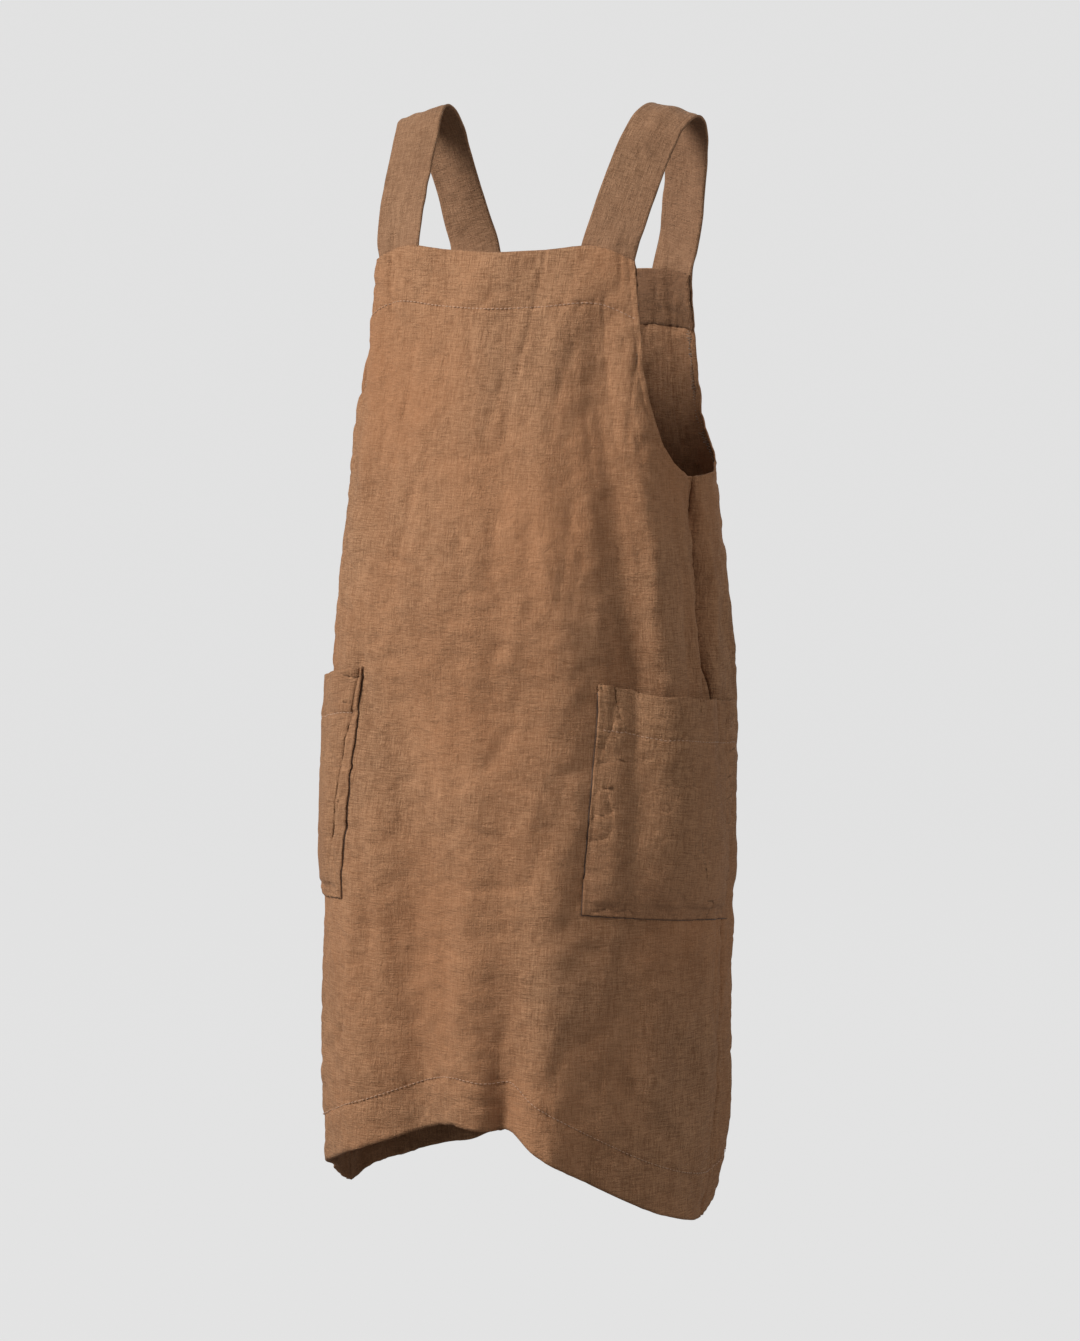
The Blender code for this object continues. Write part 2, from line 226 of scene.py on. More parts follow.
OVERLOCK_RADIUS = 0.00038
OVERLOCK_PITCH = 0.0026
OVERLOCK_INSET = 0.0085
OVERLOCK_SWAY = (0.0030, 0.0062)
CREASES = (  # angle, drop at the middle, length, half width, lean in degrees, depth
    (-8, 0.60, 0.10, 0.008, 8, 0.0020),
    (12, 0.48, 0.12, 0.007, -6, 0.0016),
    (22, 0.40, 0.16, 0.009, 4, 0.0020),
    (-22, 0.33, 0.14, 0.008, -4, 0.0018),
    (6, 0.26, 0.10, 0.006, 3, 0.0016),
    (-34, 0.52, 0.12, 0.008, 6, 0.0020),
    (2, 0.78, 0.14, 0.008, -5, 0.0022),
    (-26, 0.74, 0.16, 0.008, 7, 0.0026),
    (30, 0.62, 0.14, 0.009, -8, 0.0024),
    (58, 0.88, 0.13, 0.008, 38, 0.0030),
    (66, 0.92, 0.11, 0.007, 44, 0.0026),
    (74, 0.86, 0.10, 0.007, 35, 0.0022),
    (56, 0.41, 0.12, 0.007, 12, 0.0022),
    (87, 0.46, 0.30, 0.008, 3, 0.0100),
    (75, 0.48, 0.24, 0.008, 6, 0.0050),
    (21, 0.93, 0.17, 0.008, -3, 0.0045),
    (-13, 0.84, 0.42, 0.018, 5, 0.0055),
    (-22, 0.80, 0.30, 0.010, 4, 0.0025),
    (-86, 0.43, 0.20, 0.007, -4, 0.0065),
    (104, 0.50, 0.18, 0.008, 4, 0.0024),
    (120, 0.70, 0.20, 0.009, -5, 0.0026),
    (135, 0.40, 0.16, 0.009, 6, 0.0022),
    (160, 0.55, 0.18, 0.009, -4, 0.0024),
    (175, 0.80, 0.16, 0.009, 5, 0.0026),
    (-165, 0.36, 0.14, 0.008, -6, 0.0020),
    (-140, 0.62, 0.18, 0.009, 6, 0.0026),
    (-125, 0.85, 0.16, 0.008, -8, 0.0024),
    (-110, 0.50, 0.16, 0.008, 5, 0.0024),
    (-60, 0.45, 0.14, 0.008, -10, 0.0024),
    (-52, 0.86, 0.14, 0.008, -20, 0.0024),
)
CREASE_SWAY = 0.006  # how far a crease wanders from a straight line
CREASE_WAVES = 5.0
CREASE_TAPER = 1.6
CREASE_LIP = (0.6, 1.9, 1.2)  # the ridge beside a crease: share of its depth, place and width in half widths
CRUMPLES = (  # height, cell across, cell down, lean across per metre down, seed
    (0.0018, 0.034, 0.170, 0.0, 11),
    (0.0010, 0.024, 0.036, 0.3, 12),
    (0.0008, 0.015, 0.013, 0.0, 13),
    (0.00055, 0.009, 0.008, -0.5, 14),
)
SHARP_CREASES = (  # depth, cell across, cell down, lean across per metre down, seed
    (0.0018, 0.042, 0.130, 0.10, 21),
    (0.0012, 0.028, 0.048, -0.25, 22),
    (0.0008, 0.018, 0.022, 0.35, 23),
)
CREASE_SHARPNESS = 0.14
RIPPLE_RISE = 0.0005
RIPPLE_CELL = (0.022, 0.011)
RIPPLE_PATCH = (0.07, 0.11)


def curve(rows, at, column=1):
    """A smooth curve through one column of a table, over the table's first column."""
    keys = np.array([row[0] for row in rows], float)
    values = np.array([row[column] for row in rows], float)
    slopes = np.gradient(values, keys)
    at = np.clip(at, keys[0], keys[-1])
    i = np.clip(np.searchsorted(keys, at) - 1, 0, len(keys) - 2)
    span = keys[i + 1] - keys[i]
    t = (at - keys[i]) / span
    start = (1 + 2 * t) * (1 - t) ** 2 * values[i] + t * (1 - t) ** 2 * span * slopes[i]
    end = t * t * (3 - 2 * t) * values[i + 1] + t * t * (t - 1) * span * slopes[i + 1]
    return start + end


def smooth_step(low, high, at):
    t = np.clip((at - low) / (high - low), 0.0, 1.0)
    return t * t * (3 - 2 * t)


def hump(distance, width):
    """A smooth rise to 1 where the distance is 0."""
    return np.exp(-((distance / width) ** 2))


def unit(vectors):
    return vectors / np.linalg.norm(vectors, axis=-1, keepdims=True)


def turn_from(angle, centre):
    """Degrees from a centre, the short way round the body."""
    return (angle - centre + 180.0) % 360.0 - 180.0


def lattice_noise(u, v, cell_u, cell_v, seed, around=None):
    """Smooth noise between -1 and 1, in cells of a size in metres. It closes on itself every `around`."""
    size = 256
    cells = size if around is None else max(round(around / cell_u), 1)
    if around is not None:
        cell_u = around / cells
    grid = np.random.default_rng(seed).uniform(-1.0, 1.0, (cells, size))
    x, y = np.asarray(u) / cell_u + cells, np.asarray(v) / cell_v + size
    i, j = np.floor(x).astype(int), np.floor(y).astype(int)
    s, t = x - i, y - j
    s, t = s**3 * (s * (6 * s - 15) + 10), t**3 * (t * (6 * t - 15) + 10)

    def corner(di, dj):
        return grid[(i + di) % cells, (j + dj) % size]

    near = corner(0, 0) * (1 - s) + corner(1, 0) * s
    far = corner(0, 1) * (1 - s) + corner(1, 1) * s
    return near * (1 - t) + far * t


def fold_depth(angle, drop):
    """Depth, inwards, of the largest folds and the hem's tucks."""
    total = np.zeros(np.broadcast(angle, drop).shape)
    for _, angles, depths, half_width in FOLDS:
        centre = curve(tuple(zip(FOLD_DROPS, angles)), drop)
        depth = curve(tuple(zip(FOLD_DROPS, depths)), drop)
        total = total + depth * hump(turn_from(angle, centre), half_width)
    total = total * smooth_step(*FOLDS_FADE_IN, drop)
    tucked_in = np.clip((drop - TUCK_START) / TUCK_LENGTH, 0.0, 1.0) ** 2
    for _, centre, depth, half_width in HEM_TUCKS:
        total = total + depth * tucked_in * hump(turn_from(angle, centre), half_width)
    return total


def crumple(angle, drop):
    """Height, outwards, of the creases and the soft crumples of washed linen."""
    along = np.radians(angle) * BODY_RADIUS
    height = np.zeros(np.broadcast(angle, drop).shape)
    lip_share, lip_place, lip_width = CREASE_LIP
    for place, middle, length, half_width, lean, depth in CREASES:
        away = np.radians(turn_from(angle, place)) * BODY_RADIUS
        down = drop - middle
        turn = math.radians(lean)
        across = away * math.cos(turn) - down * math.sin(turn)
        way = away * math.sin(turn) + down * math.cos(turn)
        bend = across + CREASE_SWAY * np.sin(way / length * CREASE_WAVES + place)
        reach = np.exp(-((way / (0.5 * length)) ** 2) * CREASE_TAPER)
        height -= depth * reach * hump(bend, half_width)
        lip = hump(bend - lip_place * half_width, lip_width * half_width)
        height += lip_share * depth * reach * lip
    for rise, cell_u, cell_v, lean, seed in CRUMPLES:
        height += rise * lattice_noise(along + lean * drop, drop, cell_u, cell_v, seed, BODY_ROUND)
    rippled = smooth_step(-0.1, 0.6, lattice_noise(along, drop, *RIPPLE_PATCH, 16, BODY_ROUND))
    height += RIPPLE_RISE * rippled * lattice_noise(along, drop, *RIPPLE_CELL, 15, BODY_ROUND)
    for rise, cell_u, cell_v, lean, seed in SHARP_CREASES:
        crossing = np.abs(lattice_noise(along + lean * drop, drop, cell_u, cell_v, seed, BODY_ROUND))
        height -= rise * hump(crossing, CREASE_SHARPNESS)
    return height


def skin(angle, drop, detail=True):
    """Points of the cloth's outer face."""
    angle, drop = np.broadcast_arrays(np.asarray(angle, float), np.asarray(drop, float))
    half = curve(SECTIONS, drop, 1)
    turn = np.radians(angle)
    in_front = np.cos(turn) >= 0
    depth = np.where(in_front, curve(SECTIONS, drop, 2), curve(SECTIONS, drop, 3))
    outward = unit(np.stack([np.sin(turn) / half, -np.cos(turn) / depth], -1))
    plan = np.stack([half * np.sin(turn), -depth * np.cos(turn)], -1)
    push = -fold_depth(angle, drop)
    if detail:
        push = push + crumple(angle, drop)
    plan += outward * push[..., None]
    return np.concatenate([plan, -drop[..., None]], -1)


def body(angle, drop, out=0.0, detail=True):
    """Points at a height over the cloth's outer face, or below it where out is negative."""
    step_angle = 0.35
    step_drop = 0.0010
    across = skin(angle + step_angle, drop, detail) - skin(angle - step_angle, drop, detail)
    down = skin(angle, drop + step_drop, detail) - skin(angle, drop - step_drop, detail)
    normal = unit(np.cross(down, across))
    return skin(angle, drop, detail) + normal * np.asarray(out, float)[..., None]


def half_gap(drop):
    """Half the gap at a side seam, in degrees."""
    return np.degrees(0.5 * SEAM_GAP / curve(SECTIONS, drop, 2))


def seam_angle(drop, side):
    return curve(SEAMS, drop, 1 if side > 0 else 2)


def front_edge(drop, side):
    edge = np.where(drop < ARMHOLE_DROP, curve(FRONT_ARMHOLE, drop), seam_angle(drop, side))
    return edge - half_gap(drop)


def back_edge(drop, side):
    edge = np.where(drop < ARMHOLE_DROP, curve(BACK_ARMHOLE, drop), 180.0 - seam_angle(drop, side))
    return edge - half_gap(drop)


def hem_row(across, edge, turned):
    """Drops of the hem at places across a panel."""
    ends = [edge(np.array(SECTIONS[-1][0]), side) for side in (-1, 1)]
    angle = across * np.where(across < 0, ends[0], ends[1])
    if turned:
        angle = np.where(across < 0, -180.0 - angle, 180.0 - angle)
    return curve(HEM, angle)


def spread_across():
    """Places across a panel from -1 to 1, closer together near both edges."""
    edge = np.linspace(1 - EDGE_SHARE, 1.0, EDGE_COLUMNS + 1)[1:]
    middle = np.linspace(EDGE_SHARE - 1, 1 - EDGE_SHARE, MIDDLE_COLUMNS + 1)
    return np.concatenate([-edge[::-1], middle, edge])


def band_rows(depth):
    """Distances from an edge, closer together about the stitches of its turned band."""
    fine = np.arange(depth - BAND_REACH, depth + BAND_REACH + BAND_STEP / 2, BAND_STEP)
    return np.concatenate([np.linspace(0.0, fine[0], round(fine[0] / ROW_STEP) + 1)[:-1], fine])


def panel_angles(across, drop, edge, turned):
    """Angles of a panel's points, spread between its two edges in each row."""
    right_edge = edge(drop[:, 0], -1)[:, None]
    left_edge = edge(drop[:, -1], 1)[:, None]
    angle = across * np.where(across < 0, right_edge, left_edge)
    return 180.0 - angle if turned else angle


def panel_grid(top, edge, turned):
    """Angles and drops of a panel, with rows that crowd towards the foot of the armholes."""
    across = spread_across()
    side_share = np.abs(across) ** 3
    armhole_row = ARMHOLE_DROP + ARMHOLE_ROW_DIP * (1 - across**6)
    top_drop = curve(top, across * top[-1][0])
    hem_drop = hem_row(across, edge, turned)
    top_band, hem_band = band_rows(FACING_DEPTH), band_rows(HEM_DEPTH)
    rows = [top_drop + away for away in top_band]
    below_band = rows[-1]
    for row in range(1, UPPER_ROWS + 1):
        even = row / UPPER_ROWS
        crowded = 1 - (1 - even) ** ROW_CROWDING
        share = crowded * side_share + even * (1 - side_share)
        rows.append(below_band + share * (armhole_row - below_band))
    above_band = hem_drop - hem_band[-1]
    for row in range(1, LOWER_ROWS):
        rows.append(armhole_row + row / LOWER_ROWS * (above_band - armhole_row))
    rows += [hem_drop - away for away in hem_band[::-1]]
    drop = np.array(rows)
    return panel_angles(across, drop, edge, turned), drop, top_drop[None, :], hem_drop[None, :], across


# ---------------------------------------------------------------- mesh helpers
def new_piece(name, verts, faces, material):
    """A smooth mesh of one material, as an object in the scene."""
    mesh = bpy.data.meshes.new(name)
    mesh.from_pydata(verts, [], faces)
    mesh.shade_smooth()
    mesh.materials.append(material)
    piece = bpy.data.objects.new(name, mesh)
    bpy.context.scene.collection.objects.link(piece)
    return piece


def grid_quads(rows, columns):
    index = np.arange(rows * columns).reshape(rows, columns)
    return np.stack([index[:-1, :-1], index[1:, :-1], index[1:, 1:], index[:-1, 1:]], -1).reshape(-1, 4)


def sheet_mesh(name, points, uv, material, wall):
    """A grid of quads, with its UVs in metres, thickened by a Solidify towards the body."""
    quads = grid_quads(*points.shape[:2])
    piece = new_piece(name, points.reshape(-1, 3).tolist(), quads.tolist(), material)
    layer = piece.data.uv_layers.new(name="UVMap")
    flat = uv.reshape(-1, 2)[quads.reshape(-1)]
    layer.data.foreach_set("uv", flat.astype(np.float32).ravel())
    shell = piece.modifiers.new("wall", "SOLIDIFY")
    shell.thickness = wall
    shell.offset = -1.0
    shell.use_even_offset = False
    return piece


def turned_out(points, uv):
    """A grid's points and UVs, mirrored if its quads would face the body's axis."""
    i, j = points.shape[0] // 2, points.shape[1] // 2
    normal = np.cross(points[i + 1, j] - points[i, j], points[i, j + 1] - points[i, j])
    if np.dot(normal[:2], points[i, j, :2]) > 0:
        return points, uv
    return points[:, ::-1], uv[:, ::-1]


def lengths_along(path):
    return np.concatenate([[0.0], np.cumsum(np.linalg.norm(np.diff(path, axis=0), axis=1))])


def tube_faces(base, rings, sides):
    """Faces of a closed tube, whose rings of vertices start at a base index."""
    faces = []
    for ring in range(rings - 1):
        for corner in range(sides):
            a = base + ring * sides + corner
            b = base + ring * sides + (corner + 1) % sides
            faces.append((a, b, b + sides, a + sides))
    last = base + (rings - 1) * sides
    faces.append(tuple(range(base + sides - 1, base - 1, -1)))
    faces.append(tuple(range(last, last + sides)))
    return faces


def stitches(name, path, normals, material):
    """A row of thread stitches along a path, each a small closed lozenge half sunk in the cloth."""
    length = lengths_along(path)
    verts, faces = [], []
    sides = 6
    step = 0.0001
    raised = 0.0001
    profile = ((0.0, 0.25), (0.22, 1.0), (0.78, 1.0), (1.0, 0.25))  # share of the length, share of the radius

    def along(rows, at):
        return np.array([np.interp(at, length, rows[:, k]) for k in range(3)])

    for start in np.arange(0.0, length[-1] - STITCH_LENGTH, STITCH_PITCH):
        faces += tube_faces(len(verts), len(profile), sides)
        for share, swell in profile:
            at = start + share * STITCH_LENGTH
            normal = unit(along(normals, at))
            side = np.cross(unit(along(path, at + step) - along(path, at - step)), normal)
            for corner in range(sides):
                turn = 2 * math.pi * corner / sides
                offset = side * math.cos(turn) + normal * math.sin(turn)
                verts.append(along(path, at) + offset * STITCH_RADIUS * swell + normal * raised)
    return new_piece(name, [tuple(v) for v in verts], faces, material)


def body_path(angle, drop, out):
    """A path on the body at one height, with its outward normals."""
    points = body(angle, drop, np.full(angle.shape, out))
    return points, unit(body(angle, drop, np.full(angle.shape, out + 0.01)) - points)


# ---------------------------------------------------------------- materials
def node(tree, kind, **settings):
    """A new shader node with the given settings."""
    made = tree.nodes.new(kind)
    for key, value in settings.items():
        setattr(made, key, value)
    return made


LINEN_ROUGHNESS = 0.88
LINEN_NOISE = {  # cells per metre across and down, detail, roughness, offset
    "weft_slub": (60.0, 720.0, 3.0, 0.65, 0.0),
    "warp_slub": (720.0, 42.0, 3.0, 0.65, 3.1),
    "fine_weft": (90.0, 1500.0, 1.0, 0.5, 6.1),
    "fine_warp": (1500.0, 90.0, 1.0, 0.5, 8.3),
    "grain": (900.0, 900.0, 1.0, 0.5, 2.2),
    "mottle": (16.0, 11.0, 4.0, 0.62, 1.9),
    "streak": (55.0, 5.0, 3.0, 0.6, 7.7),
    "dye": (5.0, 4.0, 3.0, 0.5, 5.3),
    "crumples": (85.0, 110.0, 5.0, 0.68, 9.4),
}
THREAD_SWING = {"weft_slub": 0.5, "warp_slub": 0.5, "fine_weft": 0.4, "fine_warp": 0.4, "grain": 0.35}
TONE_RISE = {"mottle": 0.42, "streak": 0.28}
TONE_BASE = 0.14
TONE_OF_THREADS = 0.74
WARM_SHARE = 0.55
WEAVE_PITCH = 460.0
BUMPS = (("threads", 0.75, 0.0006), ("crumples", 0.6, 0.004))  # name, strength, distance


def linen(name, dark, light, warm):
    """Plain-woven washed linen on UVs in metres: threads, slubs, streaks and an uneven dye."""
    material = bpy.data.materials.new(name)
    material.use_nodes = True
    tree = material.node_tree
    tree.nodes.clear()
    link = tree.links.new
    output = node(tree, "ShaderNodeOutputMaterial")
    shader = node(tree, "ShaderNodeBsdfPrincipled")
    link(shader.outputs["BSDF"], output.inputs["Surface"])
    shader.inputs["Specular IOR Level"].default_value = 0.18
    shader.inputs["Sheen Weight"].default_value = 0.08
    shader.inputs["Sheen Roughness"].default_value = 0.45
    shader.inputs["Sheen Tint"].default_value = (1.0, 0.74, 0.52, 1.0)
    uv = node(tree, "ShaderNodeUVMap", uv_map="UVMap")

    def noise(kind):
        across, down, detail, rough, offset = LINEN_NOISE[kind]
        place = node(tree, "ShaderNodeMapping")
        place.inputs["Scale"].default_value = (across, down, 1.0)
        place.inputs["Location"].default_value = (offset, 0.7 * offset, 0.0)
        link(uv.outputs["UV"], place.inputs["Vector"])
        made = node(tree, "ShaderNodeTexNoise")
        made.inputs["Scale"].default_value = 1.0
        made.inputs["Detail"].default_value = detail
        made.inputs["Roughness"].default_value = rough
        link(place.outputs["Vector"], made.inputs["Vector"])
        return made.outputs["Fac"]

    def ramp(source, low, high, black, white):
        made = node(tree, "ShaderNodeMapRange")
        for socket, value in (("From Min", low), ("From Max", high), ("To Min", black), ("To Max", white)):
            made.inputs[socket].default_value = value
        link(source, made.inputs["Value"])
        return made.outputs["Result"]

    def combine(operation, first, second):
        made = node(tree, "ShaderNodeMath", operation=operation)
        for socket, value in zip(made.inputs, (first, second)):
            if isinstance(value, (int, float)):
                socket.default_value = value
            else:
                link(value, socket)
        return made.outputs["Value"]

    def mixed(factor, first, second):
        made = node(tree, "ShaderNodeMix", data_type="RGBA")
        for socket, value in (("Factor", factor), ("A", first), ("B", second)):
            if isinstance(value, tuple):
                made.inputs[socket].default_value = (*value, 1.0)
            else:
                link(value, made.inputs[socket])
        return made.outputs["Result"]

    threads = 0.0
    for kind, swing in THREAD_SWING.items():
        threads = combine("ADD", ramp(noise(kind), 0.3, 0.7, -swing, swing), threads)
    tone = TONE_BASE
    for kind, rise in TONE_RISE.items():
        tone = combine("ADD", ramp(noise(kind), 0.3, 0.7, 0.0, rise), tone)
    tone = combine("ADD", tone, combine("MULTIPLY", threads, TONE_OF_THREADS))
    colour = mixed(tone, dark, light)
    colour = mixed(ramp(noise("dye"), 0.38, 0.66, 0.0, WARM_SHARE), colour, warm)
    link(colour, shader.inputs["Base Color"])

    waves = []
    for direction, offset in (("X", 0.0), ("Y", 0.5)):
        place = node(tree, "ShaderNodeMapping")
        place.inputs["Location"].default_value = (offset, offset, 0.0)
        link(uv.outputs["UV"], place.inputs["Vector"])
        wave = node(tree, "ShaderNodeTexWave", wave_type="BANDS", bands_direction=direction)
        wave.inputs["Scale"].default_value = WEAVE_PITCH
        wave.inputs["Distortion"].default_value = 1.2
        wave.inputs["Detail"].default_value = 1.0
        link(place.outputs["Vector"], wave.inputs["Vector"])
        waves.append(wave.outputs["Fac"])
    weave = combine("MULTIPLY", combine("MAXIMUM", *waves), 0.35)
    heights = {
        "threads": combine("ADD", weave, combine("MULTIPLY", threads, 0.6)),
        "crumples": noise("crumples"),
    }
    normal = None
    for kind, strength, distance in BUMPS:
        bump = node(tree, "ShaderNodeBump")
        bump.inputs["Strength"].default_value = strength
        bump.inputs["Distance"].default_value = distance
        link(heights[kind], bump.inputs["Height"])
        if normal:
            link(normal, bump.inputs["Normal"])
        normal = bump.outputs["Normal"]
    link(normal, shader.inputs["Normal"])
    roughness = ramp(threads, -1.0, 1.0, LINEN_ROUGHNESS + 0.06, LINEN_ROUGHNESS - 0.08)
    link(roughness, shader.inputs["Roughness"])
    return material


def thread_material(name, dark, light):
    """Spun thread, in a colour that varies along it."""
    material = bpy.data.materials.new(name)
    material.use_nodes = True
    tree = material.node_tree
    shader = tree.nodes["Principled BSDF"]
    shader.inputs["Roughness"].default_value = 0.6
    shader.inputs["Sheen Weight"].default_value = 0.2
    coordinates = node(tree, "ShaderNodeTexCoord")
    noise = node(tree, "ShaderNodeTexNoise")
    noise.inputs["Scale"].default_value = 900.0
    tree.links.new(coordinates.outputs["Object"], noise.inputs["Vector"])
    ramp = node(tree, "ShaderNodeMix", data_type="RGBA")
    ramp.inputs["A"].default_value = (*dark, 1.0)
    ramp.inputs["B"].default_value = (*light, 1.0)
    tree.links.new(noise.outputs["Fac"], ramp.inputs["Factor"])
    tree.links.new(ramp.outputs["Result"], shader.inputs["Base Color"])
    return material


# ---------------------------------------------------------------- pieces
def panel_uv(angle, drop):
    """UVs in metres along the cloth."""
    return np.stack([np.radians(angle) * BODY_RADIUS, -drop + 0.0 * angle], -1)


def second_layer(distance, depth, rise):
    """The extra height of a turned edge, where it is double."""
    return rise * (1 - smooth_step(depth - TURNED_STEP, depth + TURNED_STEP, distance))


def edge_band(along, distance, depth, rise, pull, seed):
    """A turned edge's extra height: its second layer, the dip at its stitches and the puckers beside them."""
    beside = distance - depth + STITCH_INSET
    pucker = PUCKER_SHARE * pull * lattice_noise(along, distance, 0.0095, 0.030, seed)
    return second_layer(distance, depth, rise) - pull * hump(beside, 0.0020) + pucker * hump(beside, 0.010)


def armhole_distance(angle, drop, armhole, edge, turned):
    """How far each point of a panel is from the nearer armhole edge, in metres along the cloth."""
    flatness = 0.9  # the body's mean radius over its half width
    line_drop = np.linspace(armhole[0][0] - 0.01, ARMHOLE_DROP, 160)
    nearest = np.full(angle.shape, 1.0)
    flat = (180.0 - angle) if turned else angle
    radius = curve(SECTIONS, drop, 1)
    for side in (-1, 1):
        line_angle = side * edge(line_drop, side)
        for at_angle, at_drop in zip(line_angle, line_drop):
            away = np.hypot(np.radians(flat - at_angle) * radius * flatness, drop - at_drop)
            nearest = np.minimum(nearest, away)
    return nearest


def armhole_hem(angle, drop, armhole, edge, turned):
    """The extra height of the narrow turned edge of the armholes."""
    distance = armhole_distance(angle, drop, armhole, edge, turned)
    beside = distance - ARMHOLE_HEM
    layer = second_layer(distance, ARMHOLE_HEM, ARMHOLE_RISE)
    dip = -ARMHOLE_PULL * hump(beside + STITCH_INSET, 0.0018)
    pucker = ARMHOLE_PUCKER * lattice_noise(drop, np.radians(angle) * BODY_RADIUS, 0.008, 0.03, 75)
    return layer + dip + pucker * hump(beside, ARMHOLE_HEM)


def add_panel(name, top, armhole, edge, turned, material):
    """The front or the back, from its top edge to the hem."""
    angle, drop, top_drop, hem_drop, across = panel_grid(top, edge, turned)
    along = np.radians(angle) * BODY_RADIUS
    out = edge_band(along, hem_drop - drop, HEM_DEPTH, 0.0004, pull=0.0006, seed=71)
    out += edge_band(along, drop - top_drop, FACING_DEPTH, 0.0003, pull=0.0007, seed=72)
    out += armhole_hem(angle, drop, armhole, edge, turned)
    from_seam = np.where(drop > ARMHOLE_DROP, (1 - np.abs(across)) * SEAM_REACH, 1.0)
    dip, dip_width = SEAM_DIP
    lip, lip_width, lip_place = SEAM_LIP
    out -= dip * hump(from_seam, dip_width)
    out += lip * hump(from_seam - lip_place, lip_width)
    grids = turned_out(body(angle, drop, out), panel_uv(angle, drop))
    return sheet_mesh(name, *grids, material, PANEL_WALL)


def strap_zone(x, end):
    """1 from a strap's inner edge outwards, and 0 at the body's middle."""
    inner_edge = end[0] - STRAP_WIDTH / 2
    return smooth_step(inner_edge - 0.022, inner_edge - 0.004, np.abs(x))


def add_facing(name, top, edge, turned, end, material):
    """The band inside a top edge, with room for the strap ends between it and the panel."""
    across = spread_across()
    rows = 16
    top_drop = curve(top, across * top[-1][0])
    drop = top_drop + FACING_DEPTH * np.linspace(0.0, 1.0, rows + 1)[:, None]
    angle = panel_angles(across, drop, edge, turned)
    x = body(angle, drop)[..., 0]
    outer_edge = end[0] + STRAP_WIDTH / 2
    over_strap = strap_zone(x, end) * (1 - smooth_step(outer_edge + 0.001, outer_edge + 0.008, np.abs(x)))
    over_strap *= 1 - smooth_step(STRAP_TUCK + 0.003, STRAP_TUCK + 0.018, drop - top_drop)
    room = over_strap * (STRAP_WALL + 2 * STRAP_GAP - SEAM_GAP)
    depth = PANEL_WALL + SEAM_GAP + room
    grids = turned_out(body(angle, drop, -depth), panel_uv(angle, drop) + (0.37, 0.11))
    return sheet_mesh(name, *grids, material, FACING_WALL)


def strap_frames(side):
    """Centres, width directions and normals along a strap's route."""
    route = np.array(STRAP_ROUTE, float)
    points = route[:, :3] * (side, 1, -1)
    tangents = unit(np.gradient(points, axis=0))
    tilt = math.radians(STRAP_TILT)
    yaw = np.radians(route[:, 3 if side > 0 else 4])
    flat = math.cos(tilt)
    widths = np.stack([side * flat * np.cos(yaw), flat * np.sin(yaw), np.full(len(yaw), -math.sin(tilt))], -1)
    widths = unit(widths - tangents * np.sum(widths * tangents, axis=1, keepdims=True))
    return points, widths, np.cross(widths, tangents) * side


def tucked(side, end, top, below, offsets, turned):
    """A row across a strap's end, between a panel and its facing."""
    drop = top + below
    place = (end[0] + end[1] * below + offsets) / curve(SECTIONS, drop, 1)
    angle = np.degrees(np.arcsin(np.clip(place, -1, 1)))
    angle = side * (180.0 - angle if turned else angle)
    drops = np.full(angle.shape, drop)
    depth = np.full(angle.shape, PANEL_WALL + STRAP_GAP)
    return body(angle, drops, -depth)


def resample(rows, count):
    """Rows of points at even lengths along their middle, with those lengths."""
    length = lengths_along(rows[:, rows.shape[1] // 2])
    at = np.linspace(0.0, length[-1], count + 1)
    flat = rows.reshape(len(rows), -1)
    columns = [curve(tuple(zip(length, column)), at) for column in flat.T]
    return np.stack(columns, -1).reshape(count + 1, *rows.shape[1:]), at


def add_strap(name, side, material):
    """A shoulder strap and its length."""
    across = 24
    along = 200
    offsets = np.linspace(-STRAP_WIDTH / 2, STRAP_WIDTH / 2, across + 1)
    front_top = float(curve(FRONT_TOP, STRAP_FRONT_ANGLE))
    back_top = float(curve(BACK_TOP, STRAP_BACK_ANGLE))
    rows = [
        tucked(side, STRAP_FRONT_END, front_top, below, offsets, False)
        for below in (STRAP_TUCK, STRAP_TUCK / 2, 0.0)
    ]
    for centre, width, normal in zip(*strap_frames(side)):
        rows.append(centre + offsets[:, None] * width + normal * STRAP_WALL / 2)
    rows += [
        tucked(side, STRAP_BACK_END, back_top, below, offsets, True)
        for below in (0.0, STRAP_TUCK / 2, STRAP_TUCK)
    ]
    points, at = resample(np.array(rows), along)
    normal = unit(np.cross(np.gradient(points, axis=1), np.gradient(points, axis=0)))
    if normal[along // 2, across // 2, 2] < 0:
        normal = -normal
    free = smooth_step(0.030, 0.055, at) * smooth_step(0.030, 0.055, at[-1] - at)
    u, v = offsets[None, :], at[:, None]
    height = 0.0011 * lattice_noise(u, v, 0.022, 0.034, 31 + side)
    height += 0.0006 * lattice_noise(u, v, 0.010, 0.014, 41 + side)
    height -= 0.0005 * hump(np.abs(u) - STRAP_WIDTH / 2 + 0.003, 0.0015)
    points = points + normal * (height * free[:, None])[..., None]
    uv = np.stack(np.broadcast_arrays(u + 0.8 + 0.3 * side, v), -1)
    if np.cross(points[1, 0] - points[0, 0], points[0, 1] - points[0, 0]) @ normal[0, 0] < 0:
        points, uv = points[:, ::-1], uv[:, ::-1]
    piece = sheet_mesh(name, points, uv, material, STRAP_WALL)
    return piece, float(at[-1])


